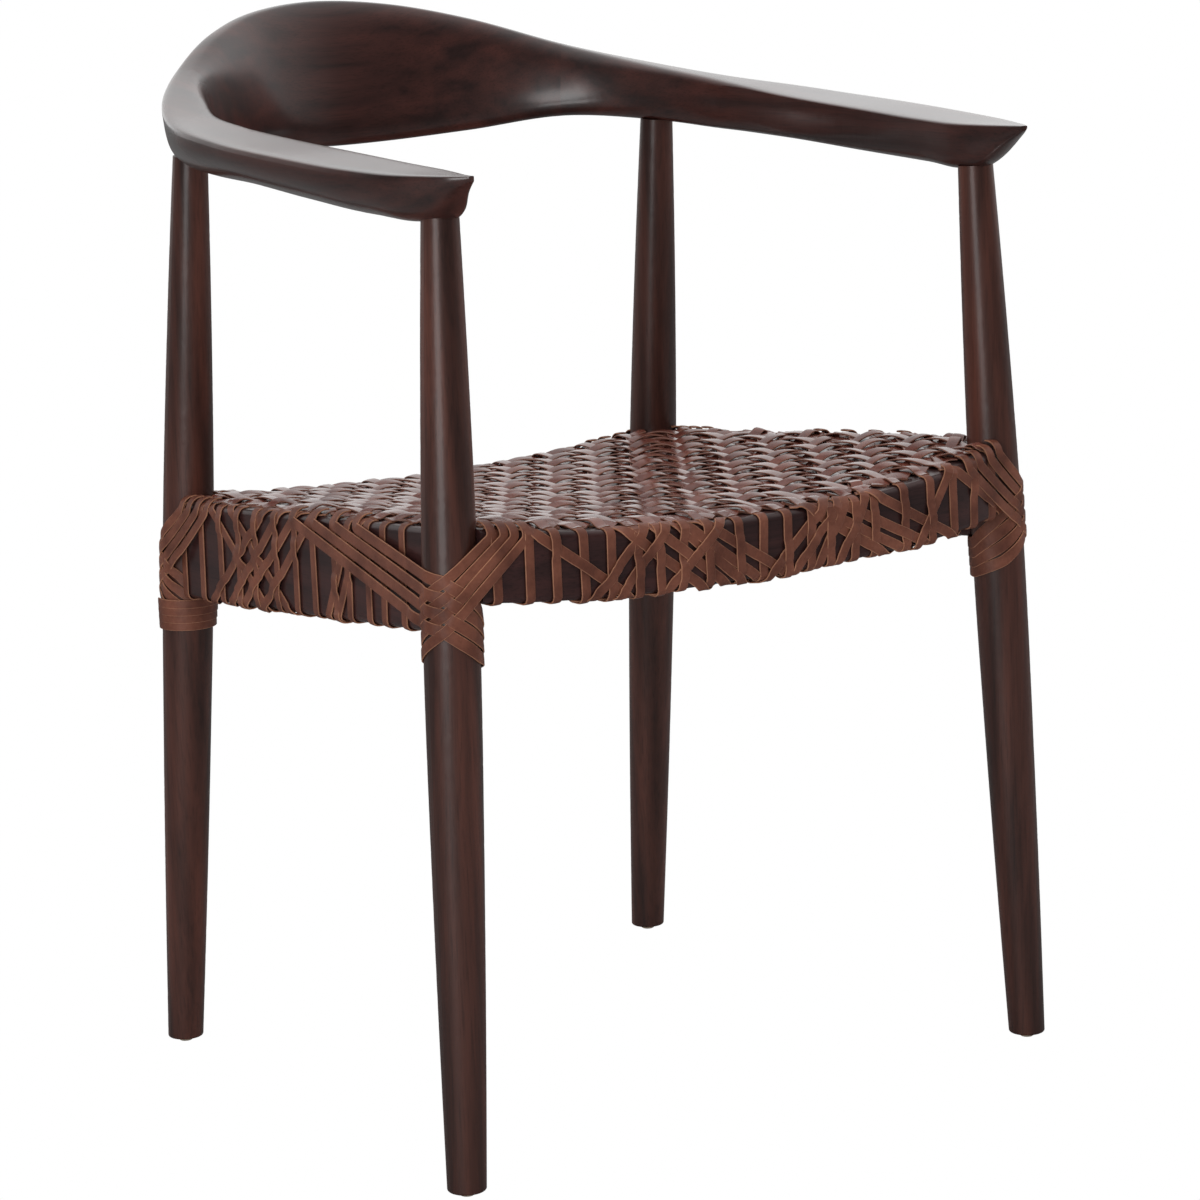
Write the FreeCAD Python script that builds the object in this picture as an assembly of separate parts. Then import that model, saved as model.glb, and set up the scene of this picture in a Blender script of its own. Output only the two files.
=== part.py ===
import FreeCAD, Part
import bisect
import math
import os

from FreeCAD import Vector

os.makedirs("parts", exist_ok=True)

# Armchair with a round top rail, four turned legs and a seat of woven leather strips.
# Millimetres. The origin is on the floor under the middle of the chair's box.
# +Z is up, the chair faces -Y, and left and right are those of someone sitting in it: left is +X.

# Overall size
overall_width = 559.0
overall_depth = 562.0
overall_height = 770.0

# Crest, the tall middle of the top rail
crest_height = 111.0
crest_thickness = 22.0
crest_lean_degrees = 12.0
seam_across = 167.0
seam_along = 179.0
seam_top = 729.0
seam_height = 55.0
seam_thickness = 27.0
crest_edge_power_share = 3.0
# how far each station between the crest's middle and the seam keeps of the middle's extra size
crest_rise_shares = (1.0, 0.885, 0.57)
crest_across_shares = (0.0, 0.333, 0.647)

# Arms: width is across the flat top, thickness is from the flat top to the belly
arm_width = 60.0
arm_thickness = 30.0
arm_front_top = 675.5
arm_tip_along = 274.5
# one row for each station, from the rear leg to the tip:
# across share of the half width, along share of the tip's distance, rise share of the seam's rise,
# width share, thickness share, widest level share, top power, belly power, lean share,
# and the share of the arm's width by which the belly's keel stands inside the middle
arm_station_shares = (
    (0.755, 0.421, 0.682, 0.55, 1.410, 0.25, 4.0, 3.3, 0.55, -0.02),
    (0.8425, 0.2317, 0.495, 0.617, 1.257, 0.22, 5.5, 2.9, 0.25, 0.140),
    (0.877, 0.095, 0.402, 0.77, 1.170, 0.14, 7.0, 2.6, 0.0, 0.238),
    (0.892, -0.124, 0.286, 0.94, 1.067, 0.12, 8.0, 2.6, 0.0, 0.300),
    (0.8925, -0.415, 0.168, 1.0, 1.077, 0.12, 8.0, 2.6, 0.0, 0.240),
    (0.880, -0.670, 0.066, 0.94, 1.077, 0.12, 8.0, 2.6, 0.0, 0.150),
    (0.865, -0.8233, 0.019, 0.757, 1.077, 0.12, 8.0, 2.5, 0.0, 0.180),
    (0.8587, -0.8925, 0.0075, 0.527, 0.947, 0.12, 8.0, 2.35, 0.0, 0.215),
    (0.853, -0.9508, 0.002, 0.300, 0.480, 0.16, 6.0, 2.2, 0.0, 0.125),
    (0.8426, -1.0, 0.0, 0.075, 0.130, 0.30, 4.0, 2.1, 0.0, 0.02),
)
quarter_points = 8
quarter_steps = 60
quarter_bend_weight = 0.5
section_spacing = 12.0
tip_sections = 3
seam_overlap = 20.0
crest_level_share = 0.5
seam_level_share = 0.47

# Legs: each axis runs from the foot to where it meets the arm
front_foot_across = 253.0
front_foot_along = 246.0
front_top_across = 230.0
front_top_along = 229.0
front_top_height = 647.0
rear_foot_across = 221.0
rear_foot_along = 178.0
rear_top_across = 210.0
rear_top_along = 117.0
rear_top_height = 671.0
leg_foot_diameter = 26.5
leg_belly_diameter = 37.5
leg_top_diameter = 25.0
# along share of the leg, and share of the way from the end's diameter to the belly's
leg_lower_shares = ((0.2, 0.50), (0.4, 0.86))
leg_belly_share = 0.57
leg_upper_shares = ((0.74, 0.76), (0.87, 0.43))
leg_edge_radius = 1.5
leg_tenon_diameter = 16.0
leg_tenon_length = 18.0
glue_gap = 0.1

# Dowels across the seam between crest and arm
dowel_diameter = 9.0
dowel_length = 50.0
dowel_spacing = 24.0

# Glides under the feet
glide_height = 3.5
glide_diameter = 15.0
glide_flat_diameter = 9.0
glide_rim = 1.2
glide_pin_diameter = 3.0
glide_pin_length = 14.0

# Seat frame: heights of the rails' tops and bottoms, in the frame of the leg axes
rail_thickness = 25.0
rail_edge_radius = 4.0
seat_front_height = 448.0
seat_rear_height = 419.5
front_dip = 19.0
rear_dip = 11.0
front_rail_bottom = 398.5
front_rail_arch = 10.0
rear_rail_bottom = 373.0
rear_rail_arch = 5.0
side_rail_front_depth = 69.0
side_rail_rear_depth = 70.5
rail_station_shares = (-1.0, -0.82, -0.5, 0.0, 0.5, 0.82, 1.0)
panel_station_shares = (-1.0, -0.7, -0.35, 0.0, 0.35, 0.7, 1.0)
housing_distance = 12.5
tenon_distance = 6.6
tenon_thickness = 12.0
tenon_shoulder = 8.0

# Leather strips
strip_width = 7.0
strip_thickness = 1.7
leather_gap = 0.3
cross_strip_pitch = 20.0
side_strip_pitch = 28.0
front_strip_count = 21
rear_strip_count = 19
side_strip_count = 12
seat_thickness = 3.4
seat_edge_inset = 7.0
lashing_thickness = 2.5
lashing_drop = 22.0
lashing_rise = 26.0

# Cuts run past the faces that they cut by this much
overrun = 60.0

half_width = overall_width / 2
half_depth = overall_depth / 2
crest_lean = math.tan(math.radians(crest_lean_degrees))


def signed_power(value, exponent):
    return math.copysign(abs(value) ** exponent, value)


def crest_reach():
    """How far the leaning crest's back stands behind the middle of its section."""
    power = crest_edge_power_share / (crest_edge_power_share - 1)
    shift = crest_lean * crest_height / 2
    return ((crest_thickness / 2) ** power + shift ** power) ** (1 / power)


def crest_stations():
    """The stations from the crest's middle to the seam, as rows of sizes."""
    back_along = half_depth - crest_reach()
    rows = []
    for across_share, rise_share in zip(crest_across_shares, crest_rise_shares):
        rows.append((
            seam_across * across_share,
            seam_along + (back_along - seam_along) * rise_share,
            seam_top + (overall_height - seam_top) * rise_share,
            seam_thickness + (crest_thickness - seam_thickness) * rise_share,
            seam_height + (crest_height - seam_height) * rise_share,
            crest_level_share, crest_edge_power_share, crest_edge_power_share, crest_lean, 0.0,
        ))
    rows.append((
        seam_across, seam_along, seam_top, seam_thickness, seam_height,
        seam_level_share, crest_edge_power_share, crest_edge_power_share, crest_lean, 0.0,
    ))
    return rows


def arm_stations():
    rows = []
    for across, along, rise, width, thickness, level, top, belly, lean, keel in arm_station_shares:
        rows.append((
            half_width * across,
            arm_tip_along * along,
            arm_front_top + (seam_top - arm_front_top) * rise,
            arm_width * width,
            arm_thickness * thickness,
            level, top, belly, crest_lean * lean, arm_width * keel,
        ))
    return rows


def top_rail_rows():
    """All the rows from the right arm's tip, round the back, to the left arm's tip."""
    left = crest_stations() + arm_stations()
    right = [(-row[0],) + row[1:] for row in left[1:]]
    return right[::-1] + left


def slopes(lengths, values):
    """The slope of a smooth curve at each of its points."""
    steps = [(b - a) for a, b in zip(lengths, lengths[1:])]
    rises = [(b - a) / step for a, b, step in zip(values, values[1:], steps)]
    inner = []
    for index in range(1, len(steps)):
        before, after = steps[index - 1], steps[index]
        inner.append((rises[index - 1] * after + rises[index] * before) / (before + after))
    return [rises[0]] + inner + [rises[-1]]


def value_at(place, lengths, values, tilts):
    """The value at a place on the smooth curve through the values with those slopes."""
    index = min(max(bisect.bisect_right(lengths, place) - 1, 0), len(lengths) - 2)
    step = lengths[index + 1] - lengths[index]
    share = (place - lengths[index]) / step
    rise = values[index + 1] - values[index]
    start = tilts[index] * step - rise
    finish = rise - tilts[index + 1] * step
    blend = share * (1 - share)
    return values[index] + rise * share + blend * (start * (1 - share) + finish * share)


def station_places(length):
    """Even places along the top rail, with closer ones up to its tips."""
    count = 2 * round(length / section_spacing / 2)
    step = length / count
    inner = [step * index for index in range(1, count)]
    tip = [step * index / tip_sections for index in range(tip_sections)]
    return tip + inner + [length - place for place in reversed(tip)]


def top_rail_stations():
    """The top rail's rows taken again at the sections' places."""
    rows = top_rail_rows()
    lengths = running_lengths([Vector(row[0], row[1], 0) for row in rows])
    columns = [(values, slopes(lengths, values)) for values in zip(*rows)]
    stations = []
    for place in station_places(lengths[-1]):
        stations.append(tuple(value_at(place, lengths, values, tilts) for values, tilts in columns))
    return stations


def spine_curve(stations):
    """The top rail's middle line in plan."""
    curve = Part.BSplineCurve()
    curve.interpolate([Vector(row[0], row[1], 0) for row in stations])
    return curve


def section_quarter(row, outward, quarter):
    """Closely set points of one quarter of a section, counted from the outer side over the top."""
    across, along, top, width, height, level, top_power, belly_power, lean, keel = row
    rise = height * level
    drop = height - rise
    middle = top - height / 2
    power = top_power if quarter < 2 else belly_power
    reach = rise if quarter < 2 else drop
    points = []
    for index in range(quarter_steps + 1):
        angle = math.pi / 2 * (quarter + index / quarter_steps)
        lift = reach * signed_power(math.sin(angle), 2 / power)
        z = top - rise + lift
        side = width / 2 * signed_power(math.cos(angle), 2 / power) + lean * (z - middle)
        if quarter > 1:
            side -= keel * (lift / drop) ** 2
        points.append(Vector(across, along, z) + outward * side)
    return points


def running_lengths(points):
    lengths = [0.0]
    for first, second in zip(points, points[1:]):
        lengths.append(lengths[-1] + (second - first).Length)
    return lengths


def evenly_spaced(points, count):
    """Points along a quarter of a section without its last one, set closer where it bends."""
    lengths = running_lengths(points)
    heading = points[1] - points[0]
    places = [0.0]
    for index in range(1, len(points)):
        turned = heading.getAngle(points[index] - points[index - 1])
        place = lengths[index] / lengths[-1] + quarter_bend_weight * turned / (math.pi / 2)
        places.append(max(place, places[-1]))
    chosen = []
    for index in range(count):
        place = places[-1] * index / count
        after = max(bisect.bisect_right(places, place), 1)
        share = (place - places[after - 1]) / (places[after] - places[after - 1])
        chosen.append(points[after - 1] + (points[after] - points[after - 1]) * share)
    return chosen


def section_wire(row, outward):
    """One closed section of the top rail: flat or rounded on top, with an inward keel below."""
    points = []
    for quarter in range(4):
        points += evenly_spaced(section_quarter(row, outward, quarter), quarter_points)
    curve = Part.BSplineCurve()
    parameters = list(range(len(points) + 1))
    curve.interpolate(Points=points, PeriodicFlag=True, Parameters=parameters)
    return Part.Wire([curve.toShape()])


def rail_blank(least, most):
    """The top rail's stretch whose stations are between two distances across, before the seams."""
    stations = top_rail_stations()
    spine = spine_curve(stations)
    wires = []
    for row in stations:
        if least < row[0] < most:
            tangent = spine.tangent(spine.parameter(Vector(row[0], row[1], 0)))[0]
            outward = Vector(-tangent.y, tangent.x, 0)
            wires.append(section_wire(row, outward.normalize()))
    return Part.makeLoft(wires, True, False)


def seam_frame():
    """A point on the left seam and the direction from the crest into the arm, in plan."""
    stations = top_rail_stations()
    spine = spine_curve(stations)
    point = Vector(seam_across, seam_along, 0)
    tangent = spine.tangent(spine.parameter(point))[0]
    return point, tangent.normalize()


def mirrored(shape):
    return shape.mirror(Vector(0, 0, 0), Vector(1, 0, 0))


def arm_side_of_seam():
    """A block that holds all of the left arm and none of the crest."""
    point, tangent = seam_frame()
    block = Part.makeBox(overall_depth, overall_width, overall_height)
    block.translate(Vector(0, -overall_width / 2, 0))
    block.rotate(Vector(0, 0, 0), Vector(0, 0, 1), math.degrees(math.atan2(tangent.y, tangent.x)))
    block.translate(point)
    return block


def seam_dowels(growth):
    """The two dowels across the left seam, grown all round for their holes."""
    point, tangent = seam_frame()
    middle = seam_top - seam_height / 2
    dowels = []
    for step in (-1, 1):
        height = middle + step * dowel_spacing / 2
        shift = crest_lean * step * dowel_spacing / 2
        centre = point + Vector(-tangent.y, tangent.x, 0) * shift
        reach = dowel_length / 2 + growth
        start = Vector(centre.x, centre.y, height) - tangent * reach
        dowels.append(Part.makeCylinder(dowel_diameter / 2 + growth, 2 * reach, start, tangent))
    return dowels


def leg_spec(front):
    """The foot, the top and the direction of a left leg's axis."""
    if front:
        foot = Vector(front_foot_across, -front_foot_along, glide_height)
        top = Vector(front_top_across, -front_top_along, front_top_height)
    else:
        foot = Vector(rear_foot_across, rear_foot_along, glide_height)
        top = Vector(rear_top_across, rear_top_along, rear_top_height)
    return foot, top, (top - foot).normalize()


def leg_radius_points(length, growth):
    """Points of the leg's outline as (distance along the axis, radius)."""
    foot = leg_foot_diameter / 2 + growth
    belly = leg_belly_diameter / 2 + growth
    top = leg_top_diameter / 2 + growth
    points = [(0.0, foot)]
    for along, share in leg_lower_shares:
        points.append((length * along, foot + (belly - foot) * share))
    points.append((length * leg_belly_share, belly))
    for along, share in leg_upper_shares:
        points.append((length * along, top + (belly - top) * share))
    points.append((length, top))
    return points


def leg_turning(front, growth):
    """The turned body of a left leg, grown all round, run past the foot to be trimmed level."""
    foot, top, direction = leg_spec(front)
    length = (top - foot).Length
    outline = leg_radius_points(length, growth)
    curve = Part.BSplineCurve()
    curve.interpolate([Vector(radius, 0, along) for along, radius in outline])
    foot_radius = outline[0][1]
    top_radius = outline[-1][1]
    run = foot_radius
    edges = [
        curve.toShape(),
        Part.makeLine(Vector(top_radius, 0, length), Vector(0, 0, length)),
        Part.makeLine(Vector(0, 0, length), Vector(0, 0, -run)),
        Part.makeLine(Vector(0, 0, -run), Vector(foot_radius, 0, -run)),
        Part.makeLine(Vector(foot_radius, 0, -run), Vector(foot_radius, 0, 0)),
    ]
    face = Part.Face(Part.Wire(edges))
    body = face.revolve(Vector(0, 0, 0), Vector(0, 0, 1), 360)
    return placed_on_axis(body, foot, direction)


def placed_on_axis(shape, start, direction):
    """Turns a shape made along +Z to lie along a direction from a start."""
    placed = shape.copy()
    rotation = FreeCAD.Rotation(Vector(0, 0, 1), direction)
    placed.Placement = FreeCAD.Placement(start, rotation)
    return placed


def leg_tenon(front, growth):
    foot, top, direction = leg_spec(front)
    radius = leg_tenon_diameter / 2 + growth
    return Part.makeCylinder(radius, leg_tenon_length + growth, top, direction)


def leg_housing(front):
    """The recess in the arm that takes the leg's shoulder, with its tenon's mortise."""
    foot, top, direction = leg_spec(front)
    start = top - direction * overrun
    socket = Part.makeCylinder(leg_top_diameter / 2 + glue_gap, overrun, start, direction)
    return socket.fuse(leg_tenon(front, glue_gap))


def axis_at(front, height):
    """Where a left leg's axis is at a height."""
    foot, top, direction = leg_spec(front)
    return foot + direction * ((height - foot.z) / direction.z)


front_corner = axis_at(True, (seat_front_height + front_rail_bottom) / 2)
rear_corner = axis_at(False, (seat_rear_height + rear_rail_bottom) / 2)


def side_line_height(along):
    """The height of the side rails' tops at a distance along the chair."""
    share = (along - front_corner.y) / (rear_corner.y - front_corner.y)
    return seat_front_height + (seat_rear_height - seat_front_height) * share


def half_span(along):
    share = (along - front_corner.y) / (rear_corner.y - front_corner.y)
    return front_corner.x + (rear_corner.x - front_corner.x) * share


def seat_height(across, along):
    """The hollow surface that the rails' tops lie in."""
    share = (along - front_corner.y) / (rear_corner.y - front_corner.y)
    dip = front_dip + (rear_dip - front_dip) * share
    return side_line_height(along) - dip * (1 - (across / half_span(along)) ** 2)


def front_bow():
    """How far the front rail's middle stands forward of the leg axes."""
    wrap = leather_gap + strip_thickness
    return half_depth + front_corner.y - rail_thickness / 2 - wrap


def front_rail_line(across):
    """The front rail's middle line in plan: nearly straight, turning back at its ends."""
    return front_corner.y - front_bow() * (1 - (across / front_corner.x) ** 4)


def rounded_rectangle(corner, side, up, width, height, radius):
    """A closed wire: four straight edges joined by quarter rounds."""
    turn = 1 - math.sqrt(0.5)

    def at(across, lift):
        return corner + side * across + up * lift

    marks = []
    for cx, cz, dx, dz in ((0, 0, 1, 1), (width, 0, -1, 1), (width, height, -1, -1), (0, height, 1, -1)):
        along_z = at(cx, cz + dz * radius)
        along_x = at(cx + dx * radius, cz)
        middle = at(cx + dx * radius * turn, cz + dz * radius * turn)
        marks.append((along_z, middle, along_x) if dx * dz > 0 else (along_x, middle, along_z))
    edges = []
    for index, (first, middle, last) in enumerate(marks):
        following = marks[(index + 1) % len(marks)][0]
        edges.append(Part.Arc(first, middle, last).toShape())
        edges.append(Part.makeLine(last, following))
    return Part.Wire(edges)


def cross_section(front, across, growth):
    """The front or rear rail's section at a distance from the chair's middle, grown all round."""
    corner = front_corner if front else rear_corner
    bottom = front_rail_bottom if front else rear_rail_bottom
    arch = front_rail_arch if front else rear_rail_arch
    along = front_rail_line(across) if front else corner.y
    low = bottom - arch * (1 - (across / corner.x) ** 2) - growth
    height = seat_height(across, along) + growth - low
    width = rail_thickness + 2 * growth
    start = Vector(across, along - width / 2, low)
    radius = rail_edge_radius + growth
    return rounded_rectangle(start, Vector(0, 1, 0), Vector(0, 0, 1), width, height, radius)


def cross_rail(front, growth, reach):
    """The front or rear rail from leg to leg, ending at a reach from the legs' axes."""
    half = (front_corner if front else rear_corner).x - reach
    wires = [cross_section(front, half * share, growth) for share in rail_station_shares]
    return Part.makeLoft(wires, True, False)


def side_run():
    """The direction and the length of the left side rail's line, from front leg to rear leg."""
    run = Vector(rear_corner.x - front_corner.x, rear_corner.y - front_corner.y, 0)
    length = run.Length
    return run.normalize(), length


def side_section(distance, growth):
    """The left side rail's section at a distance behind the front leg's axis, grown all round."""
    direction, length = side_run()
    side = Vector(direction.y, -direction.x, 0)
    base = Vector(front_corner.x, front_corner.y, 0) + direction * distance
    share = distance / length
    depth = side_rail_front_depth + (side_rail_rear_depth - side_rail_front_depth) * share
    width = rail_thickness + 2 * growth
    low = side_line_height(base.y) - depth - growth
    start = Vector(base.x, base.y, low) - side * (width / 2)
    radius = rail_edge_radius + growth
    return rounded_rectangle(start, side, Vector(0, 0, 1), width, depth + 2 * growth, radius)


def side_rail(growth, reach):
    """The left side rail, straight from leg to leg, deeper than the other two."""
    length = side_run()[1]
    wires = [side_section(reach, growth), side_section(length - reach, growth)]
    return Part.makeLoft(wires, True, True)


def cross_tenons(front, growth):
    """The front or rear rail's two tenons as one pair of blocks."""
    corner = front_corner if front else rear_corner
    top = (seat_front_height if front else seat_rear_height) - tenon_shoulder + growth
    bottom = (front_rail_bottom if front else rear_rail_bottom) + tenon_shoulder - growth
    length = housing_distance - tenon_distance
    thickness = tenon_thickness + 2 * growth
    base = Vector(corner.x - housing_distance - length, corner.y - thickness / 2, bottom)
    block = Part.makeBox(2 * length + growth, thickness, top - bottom)
    block.translate(base)
    return block.fuse(mirrored(block))


def side_tenons(growth):
    """The left side rail's two tenons."""
    direction, span = side_run()
    angle = math.degrees(math.atan2(direction.y, direction.x))
    length = housing_distance - tenon_distance
    thickness = tenon_thickness + 2 * growth
    blocks = []
    for front in (True, False):
        level = seat_front_height if front else seat_rear_height
        depth = side_rail_front_depth if front else side_rail_rear_depth
        bottom = level - depth + tenon_shoulder - growth
        tall = depth - 2 * tenon_shoulder + 2 * growth
        block = Part.makeBox(2 * length + growth, thickness, tall)
        start = tenon_distance - growth if front else span - housing_distance - length
        block.translate(Vector(start, -thickness / 2, bottom))
        block.rotate(Vector(0, 0, 0), Vector(0, 0, 1), angle)
        block.translate(Vector(front_corner.x, front_corner.y, 0))
        blocks.append(block)
    return blocks[0].fuse(blocks[1])


def rail_ends(growth):
    """All that enters the left legs' mortises, grown by the glue gap."""
    shapes = [side_rail(growth, housing_distance - growth), side_tenons(growth)]
    for front in (True, False):
        shapes.append(cross_rail(front, growth, housing_distance - growth))
        shapes.append(cross_tenons(front, growth))
    return shapes


def glide(front, growth):
    """The left glide under a foot: a low dome with a flat face and a pin."""
    foot, top, direction = leg_spec(front)
    radius = glide_diameter / 2
    flat = glide_flat_diameter / 2
    outline = Part.makePolygon([
        Vector(0, 0, 0), Vector(flat, 0, 0), Vector(radius, 0, glide_height - glide_rim),
        Vector(radius, 0, glide_height), Vector(0, 0, glide_height), Vector(0, 0, 0),
    ])
    dome = Part.Face(outline).revolve(Vector(0, 0, 0), Vector(0, 0, 1), 360)
    pin_start = Vector(0, 0, glide_height)
    pin = Part.makeCylinder(glide_pin_diameter / 2 + growth, glide_pin_length + growth, pin_start)
    shape = dome.fuse(pin) if growth == 0 else pin
    shape.translate(Vector(foot.x, foot.y, 0))
    return shape


def leg(front, mortises):
    """A left leg: trimmed level at the foot, with its tenon, mortises and the glide's hole."""
    body = leg_turning(front, 0).fuse(leg_tenon(front, 0))
    foot = leg_spec(front)[0]
    below = Part.makeBox(overrun, overrun, overrun)
    below.translate(Vector(foot.x - overrun / 2, foot.y - overrun / 2, glide_height - overrun))
    body = body.cut(below)
    sole = min(body.Faces, key=lambda face: face.BoundBox.ZMax)
    body = body.makeFillet(leg_edge_radius, sole.Edges)
    for mortise in mortises:
        body = body.cut(mortise)
    return body.cut(glide(front, glue_gap))


def seat_outline(inset):
    """The woven panel's plan: bowed in front, straight at the sides and the back."""
    edge = rail_thickness / 2 - inset
    front_points = []
    for share in panel_station_shares:
        across = share * (half_span(front_corner.y) + edge)
        limit = max(min(across, front_corner.x), -front_corner.x)
        front_points.append(Vector(across, front_rail_line(limit) - edge, 0))
    curve = Part.BSplineCurve()
    curve.interpolate(front_points)
    rear_along = rear_corner.y + edge
    rear_across = half_span(rear_along) + edge
    right_rear = Vector(-rear_across, rear_along, 0)
    left_rear = Vector(rear_across, rear_along, 0)
    edges = [
        curve.toShape(),
        Part.makeLine(front_points[-1], left_rear),
        Part.makeLine(left_rear, right_rear),
        Part.makeLine(right_rear, front_points[0]),
    ]
    return Part.Face(Part.Wire(edges))


def hollow_slab(low, high):
    """A slab between two offsets of the seat's hollow surface, wider than the seat."""
    wires = []
    for along in (-half_depth - overrun, front_corner.y, 0.0, rear_corner.y + overrun):
        reach = half_width
        rows = []
        for lift in (low, high):
            rows.append([Vector(x, along, seat_height(x, along) + lift) for x in (-reach, 0.0, reach)])
        lower = Part.Arc(*rows[0]).toShape()
        upper = Part.Arc(*rows[1]).toShape()
        left = Part.makeLine(rows[0][2], rows[1][2])
        right = Part.makeLine(rows[1][0], rows[0][0])
        wires.append(Part.Wire([lower, left, upper, right]))
    return Part.makeLoft(wires, True, False)


def seat_panel(growth):
    """The woven panel as one closed solid, lying on the rails and cut out round the legs."""
    slab = hollow_slab(leather_gap - growth, leather_gap + seat_thickness + growth)
    prism = seat_outline(seat_edge_inset - growth).extrude(Vector(0, 0, overall_height))
    return slab.common(prism)


def even_places(count, pitch):
    return [pitch * (index - (count - 1) / 2) for index in range(count)]


def wrapped_strip(section, place, panel):
    """One leather strip round a rail, hooked over its outer edge as far as the woven panel."""
    half = strip_width / 2
    skin = leather_gap + strip_thickness
    outer = Part.makeLoft([section(place + step, skin) for step in (-half, half)], True, True)
    half += leather_gap
    inner = Part.makeLoft([section(place + step, leather_gap) for step in (-half, half)], True, True)
    return outer.cut(inner).cut(panel)


def cross_wraps(front, panel):
    """Leather strips round the front or rear rail."""
    count = front_strip_count if front else rear_strip_count

    def section(across, growth):
        return cross_section(front, across, growth)

    strips = [wrapped_strip(section, place, panel) for place in even_places(count, cross_strip_pitch)]
    return Part.makeCompound(strips)


def side_wraps(panel):
    """Leather strips round the left side rail."""
    middle = side_run()[1] / 2
    places = even_places(side_strip_count, side_strip_pitch)
    return Part.makeCompound([wrapped_strip(side_section, middle + place, panel) for place in places])


def lashing(front, obstacles):
    """The lashed strips round a left leg's corner as one sleeve, open where the rails enter."""
    foot, top, direction = leg_spec(front)
    corner = front_corner if front else rear_corner
    depth = side_rail_front_depth if front else side_rail_rear_depth
    level = seat_front_height if front else seat_rear_height
    low = level - depth - lashing_drop
    high = level - lashing_rise
    sleeve = leg_turning(front, leather_gap + lashing_thickness).cut(leg_turning(front, leather_gap))
    block = Part.makeBox(2 * overrun, 2 * overrun, high - low)
    block.translate(Vector(corner.x - overrun, corner.y - overrun, low))
    sleeve = sleeve.common(block)
    for obstacle in obstacles:
        sleeve = sleeve.cut(obstacle)
    return sleeve


def export(name, shape):
    solids = shape.Solids
    kept = solids[0] if len(solids) == 1 else Part.makeCompound(solids)
    kept.exportStep("parts/" + name + ".step")
    print(name, len(solids), round(kept.Volume), kept.isValid())


def export_pair(name, shape):
    export("left_" + name, shape)
    export("right_" + name, mirrored(shape))


def main():
    arm_block = arm_side_of_seam()
    holes = seam_dowels(glue_gap)
    crest_reach_across = seam_across + seam_overlap
    crest = rail_blank(-crest_reach_across, crest_reach_across)
    crest = crest.cut(arm_block).cut(mirrored(arm_block))
    for hole in holes:
        crest = crest.cut(hole).cut(mirrored(hole))
    export("crest_rail", crest)

    arm = rail_blank(seam_across - seam_overlap, half_width).common(arm_block)
    for hole in holes + [leg_housing(True), leg_housing(False)]:
        arm = arm.cut(hole)
    export_pair("arm", arm)
    export_pair("crest_dowels", Part.makeCompound(seam_dowels(0)))

    mortises = rail_ends(glue_gap)
    export_pair("front_leg", leg(True, mortises))
    export_pair("rear_leg", leg(False, mortises))
    export_pair("front_glide", glide(True, 0))
    export_pair("rear_glide", glide(False, 0))

    export("front_rail", cross_rail(True, 0, housing_distance).fuse(cross_tenons(True, 0)))
    export("rear_rail", cross_rail(False, 0, housing_distance).fuse(cross_tenons(False, 0)))
    export_pair("side_rail", side_rail(0, housing_distance).fuse(side_tenons(0)))

    panel = seat_panel(0)
    for front in (True, False):
        around = leg_turning(front, leather_gap)
        panel = panel.cut(around).cut(mirrored(around))
    export("seat_weave", panel)

    clear_of_panel = seat_panel(leather_gap)
    export("front_rail_strips", cross_wraps(True, clear_of_panel))
    export("rear_rail_strips", cross_wraps(False, clear_of_panel))
    export_pair("side_rail_strips", side_wraps(clear_of_panel))

    clear_of_rails = rail_ends(leather_gap) + [clear_of_panel]
    export_pair("front_corner_lashing", lashing(True, clear_of_rails))
    export_pair("rear_corner_lashing", lashing(False, clear_of_rails))


main()
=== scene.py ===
import bpy
import math
import random

import numpy as np
from mathutils import Matrix, Vector


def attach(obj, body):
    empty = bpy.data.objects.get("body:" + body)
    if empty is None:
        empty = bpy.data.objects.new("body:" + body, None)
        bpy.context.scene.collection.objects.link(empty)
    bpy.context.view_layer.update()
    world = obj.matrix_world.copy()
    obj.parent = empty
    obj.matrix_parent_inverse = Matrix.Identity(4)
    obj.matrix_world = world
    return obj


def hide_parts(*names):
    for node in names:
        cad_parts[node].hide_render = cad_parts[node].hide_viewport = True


# The looks of the armchair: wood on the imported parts, and woven leather strips in place of
# the plain seat, rail strips and lashings. The chair's lengths are in millimetres, in the
# part's frame, and turn into metres where a mesh is made. The floor's, the lamps' and the
# materials' lengths are in metres.
MM = 0.001
SEED = 11
random.seed(SEED)

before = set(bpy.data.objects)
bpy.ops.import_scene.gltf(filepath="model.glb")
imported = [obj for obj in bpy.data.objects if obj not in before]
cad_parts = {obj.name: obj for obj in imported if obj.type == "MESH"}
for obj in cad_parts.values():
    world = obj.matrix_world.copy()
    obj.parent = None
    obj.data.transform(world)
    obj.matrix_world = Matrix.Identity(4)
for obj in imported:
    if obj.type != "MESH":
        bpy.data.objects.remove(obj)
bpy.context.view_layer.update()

# Camera, solved from the photograph
CAMERA_AZIMUTH = math.radians(-36.179)
CAMERA_ELEVATION = math.radians(11.041)
CAMERA_ROLL = math.radians(-2.015)
CAMERA_PLACE = (-1548.618, -2190.627, 855.017)
CAMERA_LENS = 110.71
SENSOR_WIDTH = 36.0
CLIP_START = 0.1
CLIP_END = 50.0

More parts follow.
